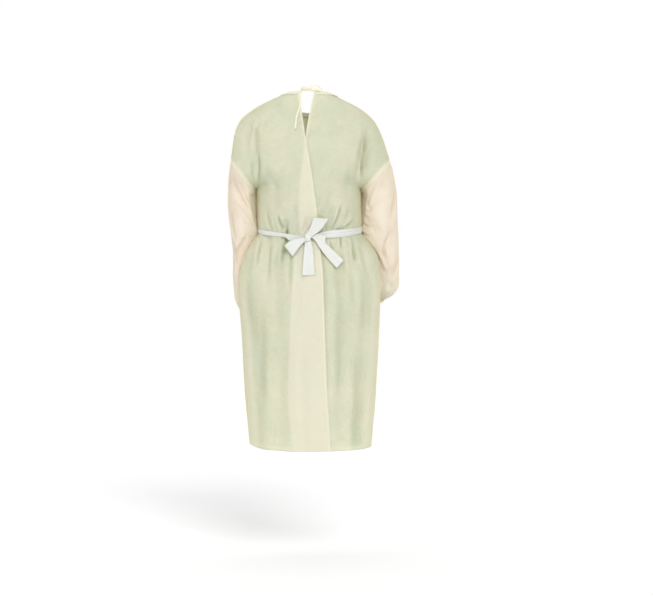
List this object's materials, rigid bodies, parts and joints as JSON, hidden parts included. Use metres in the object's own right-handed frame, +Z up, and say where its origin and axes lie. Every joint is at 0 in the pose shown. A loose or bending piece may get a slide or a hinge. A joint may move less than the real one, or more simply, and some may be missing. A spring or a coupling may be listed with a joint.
{
  "type": "isolation gown",
  "caption": "Open-back isolation gown of thin spunbond cloth with long gathered-cuff sleeves, a bound neck with ties and a tape belt tied in a bow behind.",
  "frame": {"origin": "midway between the two points where the shoulder seams meet the neck, where the wearer's shoulders hold the gown", "axes": "+Z up, the gown's back faces -Y, +X towards the wearer's right sleeve"},
  "size_m": [0.5537, 0.3166, 1.1532],
  "materials": {
    "gown_cloth": "matt pale yellow-green spunbond nonwoven, slightly see-through",
    "sleeve_cloth": "matt pale cream-yellow spunbond nonwoven, slightly see-through",
    "neck_tape": "matt pale yellow nonwoven tape",
    "waist_tape": "matt white nonwoven tape"
  },
  "bodies": {
    "root": {"front_panel": "gown_cloth", "back_panel_left": "gown_cloth", "back_panel_right": "gown_cloth", "sleeve_left": "sleeve_cloth", "sleeve_right": "sleeve_cloth", "cuff_left": "sleeve_cloth", "cuff_right": "sleeve_cloth", "neck_binding": "neck_tape", "neck_tie_knot": "neck_tape", "neck_tie_loop": "neck_tape", "neck_tie_strand": "neck_tape", "neck_tie_tail": "neck_tape", "waist_belt": "waist_tape", "waist_knot": "waist_tape", "waist_loop_upper": "waist_tape", "waist_loop_left": "waist_tape", "waist_tail_centre": "waist_tape", "waist_tail_right": "waist_tape"}
  },
  "joints": []
}
